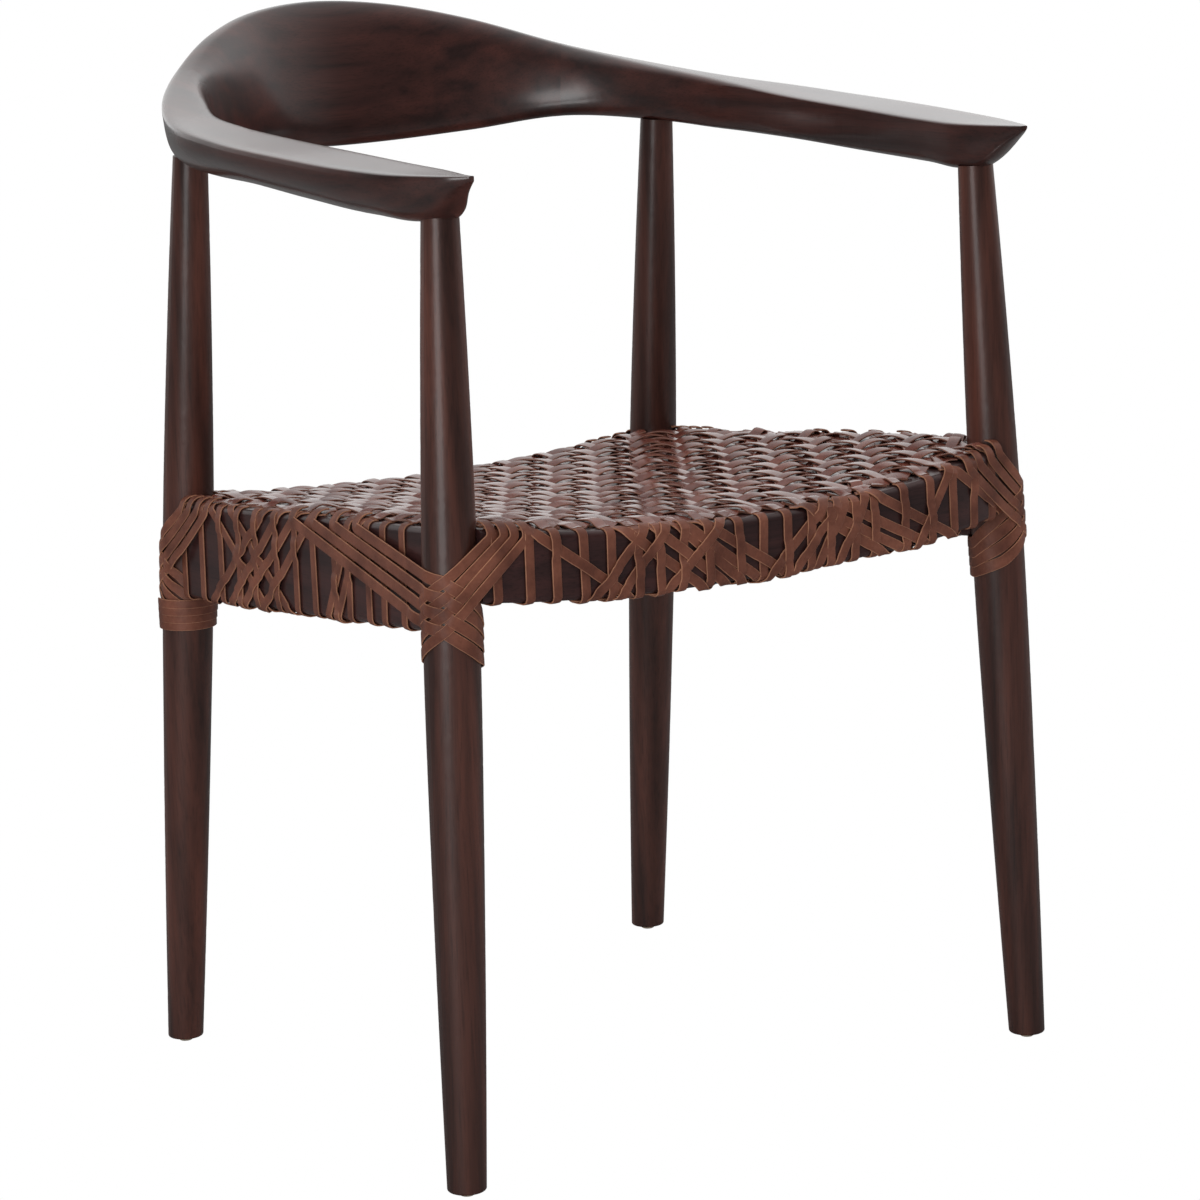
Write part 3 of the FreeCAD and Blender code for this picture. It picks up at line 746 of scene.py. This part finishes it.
def new_material(name):
    material = bpy.data.materials.new(name)
    material.use_nodes = True
    nodes = material.node_tree.nodes
    nodes.clear()
    output = nodes.new("ShaderNodeOutputMaterial")
    shader = nodes.new("ShaderNodeBsdfPrincipled")
    material.node_tree.links.new(shader.outputs["BSDF"], output.inputs["Surface"])
    return material, nodes, material.node_tree.links, shader


def noise(nodes, links, vector, scale, detail, distortion=0.0):
    node = nodes.new("ShaderNodeTexNoise")
    node.inputs["Scale"].default_value = scale
    node.inputs["Detail"].default_value = detail
    node.inputs["Distortion"].default_value = distortion
    links.new(vector, node.inputs["Vector"])
    return node.outputs["Fac"]


def ramp(nodes, links, factor, span, low_color, high_color):
    node = nodes.new("ShaderNodeValToRGB")
    for element, position, color in zip(node.color_ramp.elements, span, (low_color, high_color)):
        element.position = position
        element.color = (*color, 1)
    links.new(factor, node.inputs["Fac"])
    return node.outputs["Color"]


def multiplied(nodes, links, share, first, second):
    node = nodes.new("ShaderNodeMix")
    node.data_type = "RGBA"
    node.blend_type = "MULTIPLY"
    node.inputs["Factor"].default_value = share
    links.new(first, node.inputs["A"])
    links.new(second, node.inputs["B"])
    return node.outputs["Result"]


def bumped(nodes, links, shader, height, strength):
    node = nodes.new("ShaderNodeBump")
    node.inputs["Strength"].default_value = strength
    node.inputs["Distance"].default_value = BUMP_HEIGHT
    links.new(height, node.inputs["Height"])
    links.new(node.outputs["Normal"], shader.inputs["Normal"])


def polish(shader, roughness, gloss, coat, coat_roughness):
    shader.inputs["Roughness"].default_value = roughness
    shader.inputs["Specular IOR Level"].default_value = gloss
    shader.inputs["Coat Weight"].default_value = coat
    shader.inputs["Coat Roughness"].default_value = coat_roughness


# Materials. A stretch is the noise's scale along the grain and across it. A shade is what the
# darkest pores or scuffs keep of the colour, and a span the noise's values between which a
# ramp runs. Bumps are in metres.
GRAIN_X, GRAIN_Y, GRAIN_Z = range(3)
WHITE = (1, 1, 1)
BAND_STRETCH = (2.0, 42.0)
BAND_SCALE = 1.6
BAND_DETAIL = 5.0
BAND_DISTORTION = 0.2
BAND_SPAN = (0.36, 0.68)
PORE_STRETCH = (28.0, 900.0)
PORE_SCALE = 1.0
PORE_DETAIL = 2.0
PORE_SPAN = (0.30, 0.50)
PORE_SHADE = (0.62, 0.62, 0.62)
PORE_SHARE = 0.8
PORE_DEPTH = 0.12
WOOD_COAT_ROUGHNESS = 0.2
PATCH_SCALE = 45.0
PATCH_DETAIL = 5.0
PATCH_SPAN = (0.32, 0.68)
SCUFF_SCALE = 420.0
SCUFF_DETAIL = 3.0
SCUFF_SPAN = (0.30, 0.62)
SCUFF_SHADE = (0.8, 0.78, 0.76)
SCUFF_SHARE = 0.7
GRAIN_SCALE = 1300.0
GRAIN_DEPTH = 0.25
LEATHER_COAT_ROUGHNESS = 0.12
BUMP_HEIGHT = 0.0003


def wood_material(name, along, dark, light, roughness, gloss, coat=0.0):
    """Stained wood whose grain runs along GRAIN_X, GRAIN_Y or GRAIN_Z."""
    material, nodes, links, shader = new_material(name)
    place = nodes.new("ShaderNodeTexCoord")

    def stretched(stretch):
        scale = [stretch[1]] * 3
        scale[along] = stretch[0]
        mapping = nodes.new("ShaderNodeMapping")
        mapping.inputs["Scale"].default_value = scale
        links.new(place.outputs["Object"], mapping.inputs["Vector"])
        return mapping.outputs["Vector"]

    bands = noise(nodes, links, stretched(BAND_STRETCH), BAND_SCALE, BAND_DETAIL, BAND_DISTORTION)
    pores = noise(nodes, links, stretched(PORE_STRETCH), PORE_SCALE, PORE_DETAIL)
    color = ramp(nodes, links, bands, BAND_SPAN, dark, light)
    shade = ramp(nodes, links, pores, PORE_SPAN, PORE_SHADE, WHITE)
    links.new(multiplied(nodes, links, PORE_SHARE, color, shade), shader.inputs["Base Color"])
    bumped(nodes, links, shader, pores, PORE_DEPTH)
    polish(shader, roughness, gloss, coat, WOOD_COAT_ROUGHNESS)
    return material


def leather_material(name, dark, light, roughness, gloss, grain_depth=GRAIN_DEPTH, coat=0.0):
    """Dyed leather: uneven colour, fine grain and small scuffs."""
    material, nodes, links, shader = new_material(name)
    place = nodes.new("ShaderNodeTexCoord").outputs["Object"]
    patches = noise(nodes, links, place, PATCH_SCALE, PATCH_DETAIL)
    scuffs = noise(nodes, links, place, SCUFF_SCALE, SCUFF_DETAIL)
    grain = nodes.new("ShaderNodeTexVoronoi")
    grain.inputs["Scale"].default_value = GRAIN_SCALE
    links.new(place, grain.inputs["Vector"])
    color = ramp(nodes, links, patches, PATCH_SPAN, dark, light)
    shade = ramp(nodes, links, scuffs, SCUFF_SPAN, SCUFF_SHADE, WHITE)
    links.new(multiplied(nodes, links, SCUFF_SHARE, color, shade), shader.inputs["Base Color"])
    bumped(nodes, links, shader, grain.outputs["Distance"], grain_depth)
    polish(shader, roughness, gloss, coat, LEATHER_COAT_ROUGHNESS)
    return material


def dress(node, material):
    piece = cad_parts[node]
    piece.data.materials.clear()
    piece.data.materials.append(material)


def area_lamp(name, place, target_height, size, power, mirrored):
    data = bpy.data.lights.new(name, "AREA")
    data.shape = "RECTANGLE"
    data.size, data.size_y = size
    data.energy = power
    lamp = bpy.data.objects.new(name, data)
    bpy.context.scene.collection.objects.link(lamp)
    lamp.location = place
    lamp.visible_glossy = mirrored
    way = Vector((0.0, 0.0, target_height)) - Vector(place)
    lamp.rotation_euler = way.to_track_quat("-Z", "Y").to_euler()


# Surroundings. Reflections see the backdrop brighten from FRONT_GLOSS to full along its way, and
# a floor that is darker than the one that lights the chair from below.
FLOOR_REACH = 12.0
FLOOR_ROUGHNESS = 0.9
FLOOR_TONE = (0.8, 0.8, 0.8)
MIRRORED_FLOOR_TONE = (0.2, 0.2, 0.2)
BACKDROP_WAY = (0.45, 0.62, 0.64)
BACKDROP_SPAN = (-0.3, 0.7)
FRONT_GLOSS = 0.03
DIFFUSE_LIGHT = 0.58


def lay_floor():
    corners = [(-1, -1), (1, -1), (1, 1), (-1, 1)]
    mesh = bpy.data.meshes.new("floor")
    places = [(x * FLOOR_REACH, y * FLOOR_REACH, 0) for x, y in corners]
    mesh.from_pydata(places, [], [(0, 1, 2, 3)])
    floor = bpy.data.objects.new("floor", mesh)
    bpy.context.scene.collection.objects.link(floor)
    material, nodes, links, shader = new_material("floor_white")
    shader.inputs["Roughness"].default_value = FLOOR_ROUGHNESS
    path = nodes.new("ShaderNodeLightPath")
    tone = nodes.new("ShaderNodeMix")
    tone.data_type = "RGBA"
    tone.inputs["A"].default_value = (*FLOOR_TONE, 1)
    tone.inputs["B"].default_value = (*MIRRORED_FLOOR_TONE, 1)
    links.new(path.outputs["Is Glossy Ray"], tone.inputs["Factor"])
    links.new(tone.outputs["Result"], shader.inputs["Base Color"])
    glow = nodes.new("ShaderNodeEmission")
    glow.inputs["Color"].default_value = (*WHITE, 1)
    mix = nodes.new("ShaderNodeMixShader")
    output = next(node for node in nodes if node.type == "OUTPUT_MATERIAL")
    links.new(path.outputs["Is Camera Ray"], mix.inputs["Fac"])
    links.new(shader.outputs["BSDF"], mix.inputs[1])
    links.new(glow.outputs["Emission"], mix.inputs[2])
    links.new(mix.outputs["Shader"], output.inputs["Surface"])
    mesh.materials.append(material)


def light_world():
    """A white studio: the camera sees plain white, and reflections a backdrop that is bright
    behind and above the chair and dimmer in front of it."""
    world = bpy.data.worlds.new("studio")
    bpy.context.scene.world = world
    world.use_nodes = True
    nodes, links = world.node_tree.nodes, world.node_tree.links
    nodes.clear()
    place = nodes.new("ShaderNodeTexCoord")
    dot = nodes.new("ShaderNodeVectorMath")
    dot.operation = "DOT_PRODUCT"
    dot.inputs[1].default_value = BACKDROP_WAY
    links.new(place.outputs["Generated"], dot.inputs[0])
    span = nodes.new("ShaderNodeMapRange")
    span.interpolation_type = "SMOOTHSTEP"
    span.inputs["From Min"].default_value = BACKDROP_SPAN[0]
    span.inputs["From Max"].default_value = BACKDROP_SPAN[1]
    span.inputs["To Min"].default_value = FRONT_GLOSS
    span.inputs["To Max"].default_value = 1.0
    links.new(dot.outputs["Value"], span.inputs["Value"])

    def background(strength):
        node = nodes.new("ShaderNodeBackground")
        node.inputs["Color"].default_value = (*WHITE, 1)
        node.inputs["Strength"].default_value = strength
        return node

    def chosen(factor, first, second):
        node = nodes.new("ShaderNodeMixShader")
        links.new(factor, node.inputs["Fac"])
        links.new(first, node.inputs[1])
        links.new(second, node.inputs[2])
        return node.outputs["Shader"]

    plain, shown, mirrored = background(DIFFUSE_LIGHT), background(1.0), background(1.0)
    links.new(span.outputs["Result"], mirrored.inputs["Strength"])
    plain, shown, mirrored = (node.outputs["Background"] for node in (plain, shown, mirrored))
    path = nodes.new("ShaderNodeLightPath").outputs
    glossy = chosen(path["Is Glossy Ray"], plain, mirrored)
    clear = chosen(path["Is Transmission Ray"], glossy, shown)
    seen = chosen(path["Is Camera Ray"], clear, shown)
    output = nodes.new("ShaderNodeOutputWorld")
    links.new(seen, output.inputs["Surface"])


def set_lamps():
    """Soft lamps as place, target's height, size and watts. Only the left one shows in gloss."""
    area_lamp("top_light", (0.0, 0.3, 2.6), 0.4, (2.4, 2.4), 34, mirrored=False)
    area_lamp("left_light", (-2.1, -1.2, 0.8), 0.55, (1.0, 1.3), 20, mirrored=True)
    area_lamp("front_light", (0.4, -2.4, 1.6), 0.55, (1.0, 1.0), 9, mirrored=False)
    area_lamp("right_light", (2.6, -0.6, 1.2), 0.45, (0.8, 2.0), 12, mirrored=False)


# Each material's colour runs between its dark and its light one
CREST_DARK = (0.018, 0.0064, 0.0055)
CREST_LIGHT = (0.052, 0.0150, 0.0112)
LEG_DARK = (0.026, 0.0086, 0.0062)
LEG_LIGHT = (0.082, 0.0245, 0.0155)
RAIL_DARK = (0.020, 0.0085, 0.0085)
RAIL_LIGHT = (0.042, 0.0150, 0.0140)
DOWEL_DARK = (0.35, 0.22, 0.12)
DOWEL_LIGHT = (0.5, 0.33, 0.2)
GLIDE_DARK = (0.5, 0.41, 0.32)
GLIDE_LIGHT = (0.62, 0.52, 0.42)
STRAP_DARK = (0.080, 0.0245, 0.0145)
STRAP_LIGHT = (0.165, 0.056, 0.033)
STRAP_EDGE_DARK = (0.20, 0.085, 0.048)
STRAP_EDGE_LIGHT = (0.32, 0.145, 0.082)
SEAT_DARK = (0.074, 0.0195, 0.0140)
SEAT_LIGHT = (0.150, 0.046, 0.031)
SEAT_EDGE_DARK = (0.13, 0.05, 0.031)
SEAT_EDGE_LIGHT = (0.20, 0.08, 0.049)
# The lay strips' leather: painted a little lighter than the seat's, a painted highlight, and glossier.
PAINTED_SHEEN_DARK = (0.090, 0.0260, 0.0190)
PAINTED_SHEEN_LIGHT = (0.170, 0.058, 0.041)


def dress_wood():
    crest_wood = wood_material(
        "crest_wood", GRAIN_X, CREST_DARK, CREST_LIGHT, roughness=0.42, gloss=0.2, coat=0.9)
    arm_wood = wood_material(
        "arm_wood", GRAIN_Y, CREST_DARK, CREST_LIGHT, roughness=0.42, gloss=0.2, coat=1.0)
    leg_wood = wood_material(
        "leg_wood", GRAIN_Z, LEG_DARK, LEG_LIGHT, roughness=0.42, gloss=0.38, coat=0.2)
    cross_wood = wood_material(
        "cross_rail_wood", GRAIN_X, RAIL_DARK, RAIL_LIGHT, roughness=0.4, gloss=0.1, coat=0.45)
    side_wood = wood_material(
        "side_rail_wood", GRAIN_Y, RAIL_DARK, RAIL_LIGHT, roughness=0.4, gloss=0.1, coat=0.45)
    dowel_wood = wood_material(
        "dowel_wood", GRAIN_X, DOWEL_DARK, DOWEL_LIGHT, roughness=0.6, gloss=0.4)
    glide_plastic = leather_material(
        "glide_plastic", GLIDE_DARK, GLIDE_LIGHT, roughness=0.5, gloss=0.4)
    dress("crest_rail", crest_wood)
    dress("front_rail", cross_wood)
    dress("rear_rail", cross_wood)
    for side_name in ("left", "right"):
        dress(side_name + "_arm", arm_wood)
        dress(side_name + "_crest_dowels", dowel_wood)
        dress(side_name + "_side_rail", side_wood)
        for end_name in ("front", "rear"):
            dress(f"{side_name}_{end_name}_leg", leg_wood)
            dress(f"{side_name}_{end_name}_glide", glide_plastic)


def dress_leather():
    strap = leather_material(
        "strap_leather", STRAP_DARK, STRAP_LIGHT, roughness=0.45, gloss=0.25)
    strap_edge = leather_material(
        "strap_edge", STRAP_EDGE_DARK, STRAP_EDGE_LIGHT, roughness=0.7, gloss=0.3)
    seat = leather_material(
        "seat_leather", SEAT_DARK, SEAT_LIGHT, roughness=0.25, gloss=0.36, grain_depth=0.03)
    seat_edge = leather_material(
        "seat_edge", SEAT_EDGE_DARK, SEAT_EDGE_LIGHT, roughness=0.45, gloss=0.5, grain_depth=0.04)
    # The lay strips' faces: glossier leather, with a lighter colour that is painted highlight.
    glossy_painted_sheen = leather_material(
        "seat_glossy_painted_sheen", PAINTED_SHEEN_DARK, PAINTED_SHEEN_LIGHT, roughness=0.22, gloss=0.5,
        grain_depth=0.03, coat=0.3)
    straps = [strap, strap_edge]
    weave_seat([seat, seat_edge, glossy_painted_sheen])
    wrap_rail("front", FRONT_UPRIGHTS, FRONT_SLANTS, "front_rail_strips", straps)
    wrap_rail("rear", REAR_UPRIGHTS, REAR_SLANTS, "rear_rail_strips", straps)
    wrap_rail("left", SIDE_UPRIGHTS, LEFT_SLANTS, "left_side_rail_strips", straps)
    wrap_rail("right", SIDE_UPRIGHTS, RIGHT_SLANTS, "right_side_rail_strips", straps)
    lash_corners(straps)


set_camera()
dress_wood()
dress_leather()
lay_floor()
light_world()
set_lamps()

bpy.context.scene.view_settings.view_transform = "Standard"
